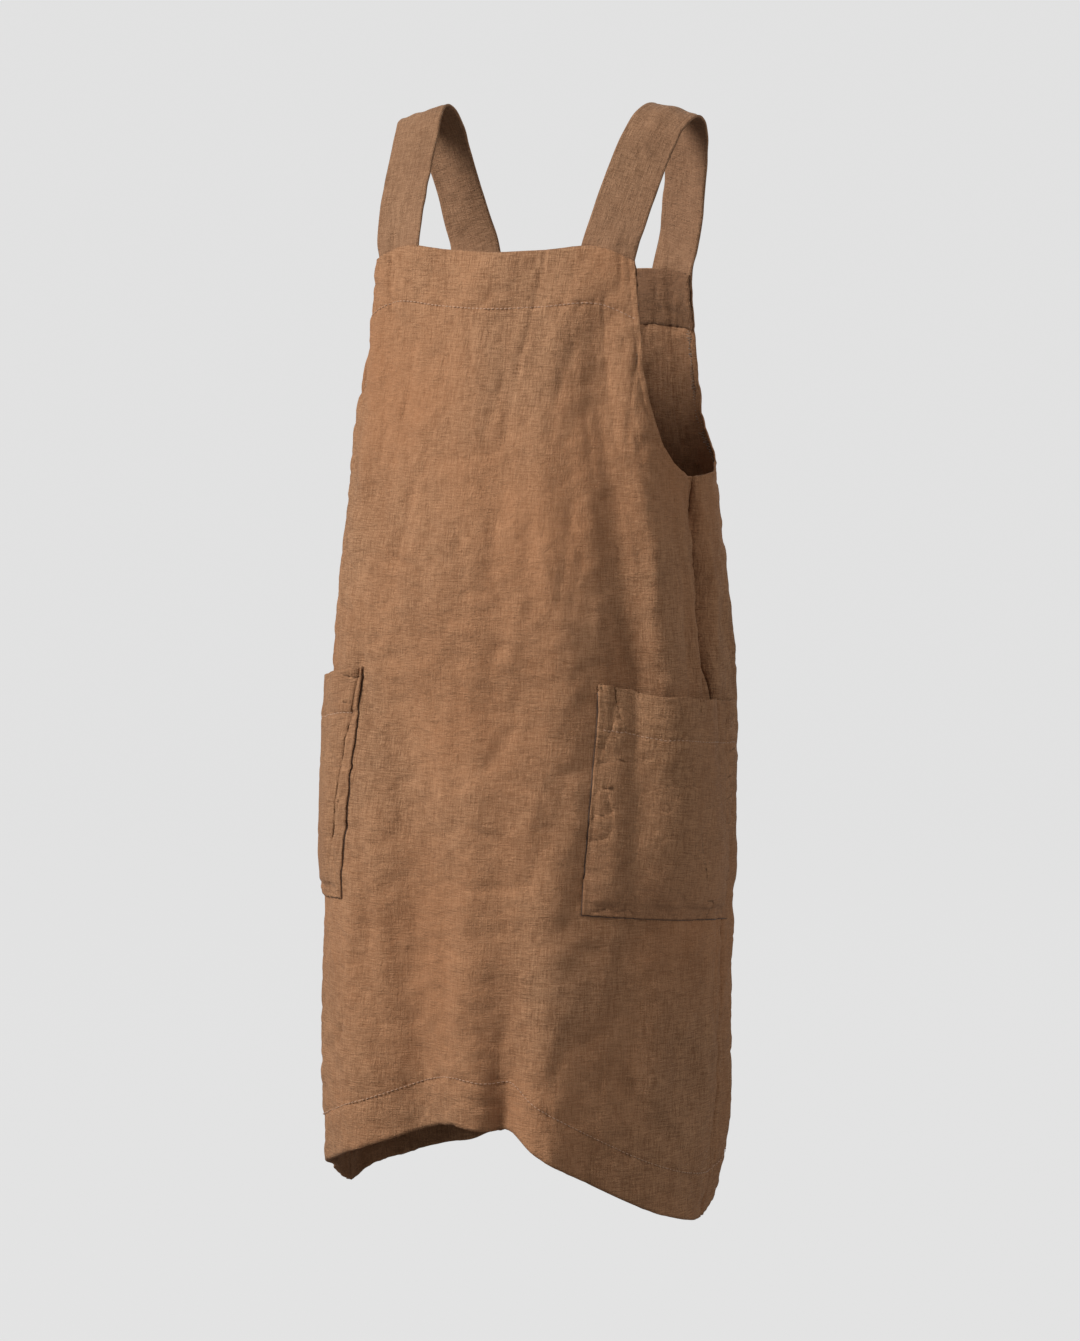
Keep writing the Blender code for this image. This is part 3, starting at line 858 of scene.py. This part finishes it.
def pocket_grid(pocket, across, down):
    """Shares across and down a patch, with the angles and drops of its points."""
    u = np.linspace(0.0, 1.0, across + 1)[None, :]
    v = np.linspace(0.0, 1.0, down + 1)[:, None]
    front = pocket["front_top"] + (pocket["front_bottom"] - pocket["front_top"]) * v
    back = pocket["back_top"] + (pocket["back_bottom"] - pocket["back_top"]) * v
    angle = pocket["side"] * (front + (back - front) * u)
    top = pocket["top_front"] + (pocket["top_back"] - pocket["top_front"]) * u
    top = top + POCKET_SAG * 4 * u * (1 - u)
    bottom = pocket["bottom_front"] + (pocket["bottom_back"] - pocket["bottom_front"]) * u
    drop = top + (bottom - top) * v
    return u, v, angle, drop


def add_pocket(row, material):
    """A patch pocket, with the path and normals of the stitches along its top hem."""
    pocket = dict(zip(POCKET_COLUMNS, row))
    u, v, angle, drop = pocket_grid(pocket, 110, 140)
    across, down = u * POCKET_ACROSS, v * POCKET_DOWN
    from_bottom = (1 - v) * POCKET_DOWN
    bulge = pocket["bulge"] * np.sin(math.pi * u) ** 0.6 * np.cos(0.5 * math.pi * v**8)
    bulge = bulge - 0.0016 * hump(from_bottom - 0.010, 0.003) * np.sin(math.pi * u) ** 0.3
    band = edge_band(across, down, POCKET_HEM, 0.0005, pull=0.0009, seed=73)
    from_edge = np.minimum(np.minimum(u, 1 - u) * POCKET_ACROSS, from_bottom)
    rim = 0.0004 * (1 - smooth_step(0.002, POCKET_RIM, from_edge))
    rim -= 0.0005 * hump(from_edge - POCKET_RIM, 0.0016)
    wrinkle = 0.0012 * lattice_noise(across, down, 0.030, 0.045, 51 + pocket["side"])
    wrinkle += 0.0006 * lattice_noise(across + v * 0.1, down, 0.014, 0.018, 61 + pocket["side"])
    inside = np.sin(math.pi * u) ** 0.4 * np.cos(0.5 * math.pi * v**6)
    out = POCKET_STANDOFF + bulge + band + rim + wrinkle * inside + POCKET_WALL
    calm = 0.75 * smooth_step(0.006, 0.030, from_edge)[..., None]
    points = body(angle, drop, out) * (1 - calm) + body(angle, drop, out + 0.001, detail=False) * calm
    uv = np.stack(np.broadcast_arrays(across + 1.7 * pocket["side"], -down), -1)
    points, uv = turned_out(points, uv)
    piece = sheet_mesh("pocket_cloth_" + pocket["name"], points, uv, material, POCKET_WALL)
    normals = unit(np.cross(np.gradient(points, axis=0), np.gradient(points, axis=1)))
    stitched = int(np.argmin(np.abs(down[:, 0] - POCKET_HEM + STITCH_INSET)))
    return piece, points[stitched, 3:-3], normals[stitched, 3:-3]


def add_hem_turn(name, edge, turned, material):
    """The hem's second layer, turned up inside a panel."""
    across = spread_across()
    hem_drop = hem_row(across, edge, turned)
    drop = hem_drop - (HEM_DEPTH - TURNED_STEP) * np.linspace(1.0, 0.0, 15)[:, None]
    angle = panel_angles(across, drop, edge, turned)
    points = body(angle, drop, np.full(angle.shape, -PANEL_WALL - HEM_TURN_GAP))
    grids = turned_out(points, panel_uv(angle, drop) + (0.53, 0.29))
    return sheet_mesh(name, *grids, material, HEM_TURN_WALL)


def thread_line(name, path, normals, radius, material):
    """A thin closed tube laid along a path, for a thread and for the near-black lines of painted shadow round
    the pockets.
    """
    sides = 5
    side = unit(np.cross(unit(np.gradient(path, axis=0)), normals))
    turn = 2 * math.pi * np.arange(sides) / sides
    ring = side[:, None] * np.cos(turn)[:, None] + normals[:, None] * np.sin(turn)[:, None]
    verts = (path[:, None] + ring * radius).reshape(-1, 3)
    return new_piece(name, verts.tolist(), tube_faces(0, len(path), sides), material)


def overlock(name, armhole, turned, side, material):
    """The zigzag of thread inside a raw armhole edge."""
    first, last = armhole[1][0], ARMHOLE_DROP - 0.008
    legs = 2 * round((last - first) / OVERLOCK_PITCH)
    drop = np.linspace(first, last, legs + 1)
    reach = np.random.default_rng(91 + side).uniform(*OVERLOCK_SWAY, legs + 1)
    sway = reach * np.where(np.arange(legs + 1) % 2, 1.0, -1.0)
    angle = curve(armhole, drop) - np.degrees((OVERLOCK_INSET + sway) / curve(SECTIONS, drop, 1))
    angle = side * (180.0 - angle if turned else angle)
    return thread_line(name, *body_path(angle, drop, -PANEL_WALL - 0.0002), OVERLOCK_RADIUS, material)


# ---------------------------------------------------------------- build the dress
STITCH_ROWS = (  # name, line, reach in degrees, points, way down from the line, from the back, height
    ("stitches_hem", HEM, 179.0, 700, -HEM_DEPTH, False, 0.0004),
    ("stitches_bib", FRONT_TOP, 51.0, 200, FACING_DEPTH - 0.001, False, 0.0002),
    ("stitches_back", BACK_TOP, 45.0, 200, FACING_DEPTH - 0.001, True, 0.0002),
)
body_linen = linen("linen_body", (0.225, 0.108, 0.052), (0.425, 0.228, 0.120), (0.400, 0.180, 0.082))
# The straps are the body's own linen; this darker copy is painted shade, toning down straps that face the key
# light
strap_linen = linen("linen_strap", (0.195, 0.099, 0.050), (0.345, 0.190, 0.104), (0.305, 0.156, 0.086))
pocket_linen = linen("linen_pocket", (0.220, 0.106, 0.050), (0.400, 0.213, 0.110), (0.365, 0.176, 0.092))
# The facing is the body's own linen; this copy is about half as bright, painted shade for the band inside the
# top edges
facing_linen = linen("linen_facing", (0.125, 0.059, 0.028), (0.235, 0.125, 0.064), (0.208, 0.100, 0.053))
thread = thread_material("sewing_thread", (0.36, 0.20, 0.115), (0.50, 0.30, 0.19))
pale_thread = thread_material("overlock_thread", (0.42, 0.29, 0.20), (0.60, 0.44, 0.33))
# Near-black, not a thread's own colour: painted shadow for the dark gap under the pockets' edges
dark_thread = thread_material("edge_thread", (0.060, 0.028, 0.014), (0.100, 0.050, 0.026))

front = add_panel("front_cloth", FRONT_TOP, FRONT_ARMHOLE, front_edge, False, body_linen)
back = add_panel("back_cloth", BACK_TOP, BACK_ARMHOLE, back_edge, True, body_linen)
front_turn = add_hem_turn("front_hem_turn", front_edge, False, body_linen)
back_turn = add_hem_turn("back_hem_turn", back_edge, True, body_linen)
front_band = add_facing("front_facing_cloth", FRONT_TOP, front_edge, False, STRAP_FRONT_END, facing_linen)
back_band = add_facing("back_facing_cloth", BACK_TOP, back_edge, True, STRAP_BACK_END, facing_linen)
strap_left, strap_length = add_strap("strap_cloth_left", 1, strap_linen)
strap_right, _ = add_strap("strap_cloth_right", -1, strap_linen)
(pocket_left, *left_row), (pocket_right, *right_row) = [add_pocket(row, pocket_linen) for row in POCKETS]

for piece, cad_node, slot in (
    (front, "front_panel", "linen_body"),
    (back, "back_panel", "linen_body"),
    (front_band, "front_facing", "linen_facing"),
    (back_band, "back_facing", "linen_facing"),
    (strap_left, "strap_left", "linen_strap"),
    (strap_right, "strap_right", "linen_strap"),
    (pocket_left, "pocket_left", "linen_pocket"),
    (pocket_right, "pocket_right", "linen_pocket"),
):
    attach(piece, "root")
    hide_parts(cad_node)

for piece in (front_turn, back_turn):
    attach(piece, "root")

# Overlocked threads inside the armholes
for name, armhole, turned in (("front", FRONT_ARMHOLE, False), ("back", BACK_ARMHOLE, True)):
    for end, side in (("left", 1), ("right", -1)):
        piece = overlock(f"overlock_{name}_{end}", armhole, turned, side, pale_thread)
        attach(piece, "root")

# Painted shadow round the pockets: near-black threads along the front, bottom and back edges stand for the
# shade in the gap under the pocket's edges
for row in POCKETS:
    pocket = dict(zip(POCKET_COLUMNS, row))
    _, _, angle, drop = pocket_grid(pocket, 90, 110)
    name = pocket["name"]
    for edge_name, edge_angle, edge_drop in (
        ("front", angle[4:, 0], drop[4:, 0]),
        ("bottom", angle[-1], drop[-1]),
        ("back", angle[4:, -1], drop[4:, -1]),
    ):
        path, normals = body_path(edge_angle, edge_drop, 0.0004)
        piece = thread_line(f"seam_{edge_name}_{name}", path, normals, pocket["seam_thread"], dark_thread)
        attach(piece, "root")

# Stitch rows: hem, bib, back and pocket tops
rows = []
for name, line, reach, count, way_down, turned, out in STITCH_ROWS:
    angle = np.linspace(-reach, reach, count)
    drop = curve(line, angle) + way_down
    rows.append((name, *body_path(180.0 - angle if turned else angle, drop, out)))
rows += [("stitches_pocket_left", *left_row), ("stitches_pocket_right", *right_row)]
for name, path, normals in rows:
    piece = stitches(name, path, normals, thread)
    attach(piece, "root")

# ---------------------------------------------------------------- stage, light and camera
STAGE_RADIUS = 8.0
FLOOR_LEVEL = -1.45
CORNER = 2.0
AZIMUTH = 28.0
PITCH = 5.98
DISTANCE = 4.03
LENS = 116.6
SENSOR = 36.0
AIM = (0.0085, 0.0045, -0.516)
BACKDROP_TOP = 9.0
BACKDROP_GLOW = 0.75
AIR_LIGHT = 0.24
LIGHT_CENTRE = -0.5  # the height that the lights are aimed at
LIGHTS = (  # name, azimuth, elevation, distance, width, height, power
    ("key", -37.0, 32.0, 3.6, 1.3, 1.7, 158.0),
    ("fill", 84.0, 22.0, 4.5, 2.5, 3.0, 50.0),
    ("back", 195.0, 30.0, 4.5, 2.5, 3.0, 60.0),
)


def add_stage():
    """A plain pale floor that curves up into a round backdrop."""
    turn = np.linspace(0.0, 0.5 * math.pi, 13)
    radii = [0.0, 0.5 * STAGE_RADIUS, *(STAGE_RADIUS - CORNER + CORNER * np.sin(turn)), STAGE_RADIUS]
    levels = [0.0, 0.0, *(CORNER - CORNER * np.cos(turn)), BACKDROP_TOP]
    sides = 96
    around = np.linspace(0.0, 2 * math.pi, sides + 1)
    points = np.array([
        [(r * math.cos(a), r * math.sin(a), FLOOR_LEVEL + level) for a in around]
        for r, level in zip(radii, levels)
    ])
    material = bpy.data.materials.new("stage_paper")
    material.use_nodes = True
    shader = material.node_tree.nodes["Principled BSDF"]
    shader.inputs["Base Color"].default_value = (0.02, 0.02, 0.02, 1.0)
    shader.inputs["Roughness"].default_value = 1.0
    shader.inputs["Specular IOR Level"].default_value = 0.0
    shader.inputs["Emission Color"].default_value = (1.0, 1.0, 1.0, 1.0)
    shader.inputs["Emission Strength"].default_value = BACKDROP_GLOW
    quads = grid_quads(*points.shape[:2])[:, ::-1]
    stage = new_piece("stage", points.reshape(-1, 3).tolist(), quads.tolist(), material)
    stage.visible_diffuse = False
    stage.visible_glossy = False
    stage.visible_shadow = False


def orbit(azimuth, elevation, distance, centre):
    """A place and a turn that look at a centre from an azimuth and an elevation in degrees."""
    a, e = math.radians(azimuth), math.radians(elevation)
    place = (
        centre[0] + distance * math.sin(a) * math.cos(e),
        centre[1] - distance * math.cos(a) * math.cos(e),
        centre[2] + distance * math.sin(e),
    )
    return place, (math.pi / 2 - e, 0.0, a)


def add_light(name, azimuth, elevation, distance, width, height, power):
    data = bpy.data.lights.new(name, "AREA")
    data.shape = "RECTANGLE"
    data.size = width
    data.size_y = height
    data.energy = power
    light = bpy.data.objects.new(name, data)
    light.location, light.rotation_euler = orbit(azimuth, elevation, distance, (0.0, 0.0, LIGHT_CENTRE))
    bpy.context.scene.collection.objects.link(light)
    light.visible_camera = False


def add_camera():
    data = bpy.data.cameras.new("camera")
    data.lens = LENS
    data.sensor_width = SENSOR
    camera = bpy.data.objects.new("camera", data)
    camera.location, camera.rotation_euler = orbit(AZIMUTH, PITCH, DISTANCE, AIM)
    bpy.context.scene.collection.objects.link(camera)
    bpy.context.scene.camera = camera


add_stage()
for light_row in LIGHTS:
    add_light(*light_row)
world = bpy.data.worlds.new("studio")
world.use_nodes = True
background = world.node_tree.nodes["Background"]
background.inputs["Color"].default_value = (1.0, 1.0, 1.0, 1.0)
background.inputs["Strength"].default_value = AIR_LIGHT
bpy.context.scene.world = world
bpy.context.scene.view_settings.view_transform = "Standard"
add_camera()
